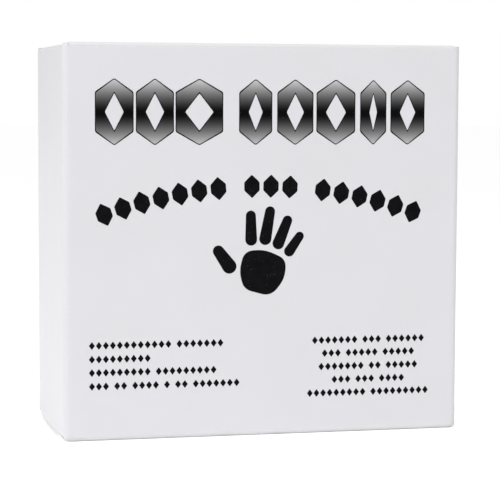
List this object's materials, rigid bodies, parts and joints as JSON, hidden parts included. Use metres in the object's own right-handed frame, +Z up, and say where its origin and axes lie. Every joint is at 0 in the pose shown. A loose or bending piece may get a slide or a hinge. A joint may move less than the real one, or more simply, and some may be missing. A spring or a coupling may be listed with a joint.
{
  "type": "gymnastics chalk box",
  "caption": "Upright paperboard folding carton with tucked lids at both ends, packed with pressed blocks of gymnastics chalk.",
  "frame": {"origin": "centre of the carton's base, on the surface that it stands on", "axes": "+Z up; the front panel faces -Y and the left side panel faces -X"},
  "size_m": [0.1286, 0.063, 0.124],
  "materials": {
    "coated_board": "satin",
    "chalk": "matte",
    "glue": "satin"
  },
  "bodies": {
    "sleeve": {"front_panel": "coated_board", "back_panel": "coated_board", "left_panel": "coated_board", "right_panel": "coated_board", "front_left_fold": "coated_board", "front_right_fold": "coated_board", "back_left_fold": "coated_board", "back_right_fold": "coated_board", "glue_flap": "coated_board", "seam_glue": "glue", "chalk_block_lower_front_left": "chalk", "chalk_block_lower_front_right": "chalk", "chalk_block_lower_back_left": "chalk", "chalk_block_lower_back_right": "chalk", "chalk_block_upper_front_left": "chalk", "chalk_block_upper_front_right": "chalk", "chalk_block_upper_back_left": "chalk", "chalk_block_upper_back_right": "chalk", "top_lid_crease": "coated_board", "top_left_dust_crease": "coated_board", "top_right_dust_crease": "coated_board", "bottom_lid_crease": "coated_board", "bottom_left_dust_crease": "coated_board", "bottom_right_dust_crease": "coated_board"},
    "top_lid": {"top_lid": "coated_board", "top_tuck_crease": "coated_board"},
    "top_tuck": {"top_tuck_flap": "coated_board"},
    "top_left_dust": {"top_left_dust_flap": "coated_board"},
    "top_right_dust": {"top_right_dust_flap": "coated_board"},
    "bottom_lid": {"bottom_lid": "coated_board", "bottom_tuck_crease": "coated_board"},
    "bottom_tuck": {"bottom_tuck_flap": "coated_board"},
    "bottom_left_dust": {"bottom_left_dust_flap": "coated_board"},
    "bottom_right_dust": {"bottom_right_dust_flap": "coated_board"}
  },
  "joints": [
    {"name": "top_lid_hinge", "type": "hinge", "parent": "sleeve", "child": "top_lid", "pos_m": [0, -0.03115, 0.12365], "axis": [1, 0, 0], "range_deg": [0, 180], "deforming": ["top_lid_crease"]},
    {"name": "top_tuck_fold", "type": "hinge", "parent": "top_lid", "child": "top_tuck", "pos_m": [0, 0.03038, 0.12369], "axis": [1, 0, 0], "range_deg": [0, 45], "deforming": ["top_tuck_crease"]},
    {"name": "top_left_dust_fold", "type": "hinge", "parent": "sleeve", "child": "top_left_dust", "pos_m": [-0.06395, 0, 0.12298], "axis": [0, -1, 0], "range_deg": [0, 90], "deforming": ["top_left_dust_crease"]},
    {"name": "top_right_dust_fold", "type": "hinge", "parent": "sleeve", "child": "top_right_dust", "pos_m": [0.06395, 0, 0.12298], "axis": [0, 1, 0], "range_deg": [0, 90], "deforming": ["top_right_dust_crease"]},
    {"name": "bottom_lid_hinge", "type": "hinge", "parent": "sleeve", "child": "bottom_lid", "pos_m": [0, -0.03115, 0.00035], "axis": [-1, 0, 0], "range_deg": [0, 180], "deforming": ["bottom_lid_crease"]},
    {"name": "bottom_tuck_fold", "type": "hinge", "parent": "bottom_lid", "child": "bottom_tuck", "pos_m": [0, 0.03038, 0.00032], "axis": [-1, 0, 0], "range_deg": [0, 45], "deforming": ["bottom_tuck_crease"]},
    {"name": "bottom_left_dust_fold", "type": "hinge", "parent": "sleeve", "child": "bottom_left_dust", "pos_m": [-0.06395, 0, 0.00102], "axis": [0, 1, 0], "range_deg": [0, 90], "deforming": ["bottom_left_dust_crease"]},
    {"name": "bottom_right_dust_fold", "type": "hinge", "parent": "sleeve", "child": "bottom_right_dust", "pos_m": [0.06395, 0, 0.00102], "axis": [0, -1, 0], "range_deg": [0, 90], "deforming": ["bottom_right_dust_crease"]}
  ],
  "couplings": [
    {"joint": "top_tuck_fold", "follows": "top_lid_hinge", "ratio": 0.25},
    {"joint": "top_left_dust_fold", "follows": "top_lid_hinge", "ratio": 0.5},
    {"joint": "top_right_dust_fold", "follows": "top_lid_hinge", "ratio": 0.5},
    {"joint": "bottom_tuck_fold", "follows": "bottom_lid_hinge", "ratio": 0.25},
    {"joint": "bottom_left_dust_fold", "follows": "bottom_lid_hinge", "ratio": 0.5},
    {"joint": "bottom_right_dust_fold", "follows": "bottom_lid_hinge", "ratio": 0.5}
  ]
}
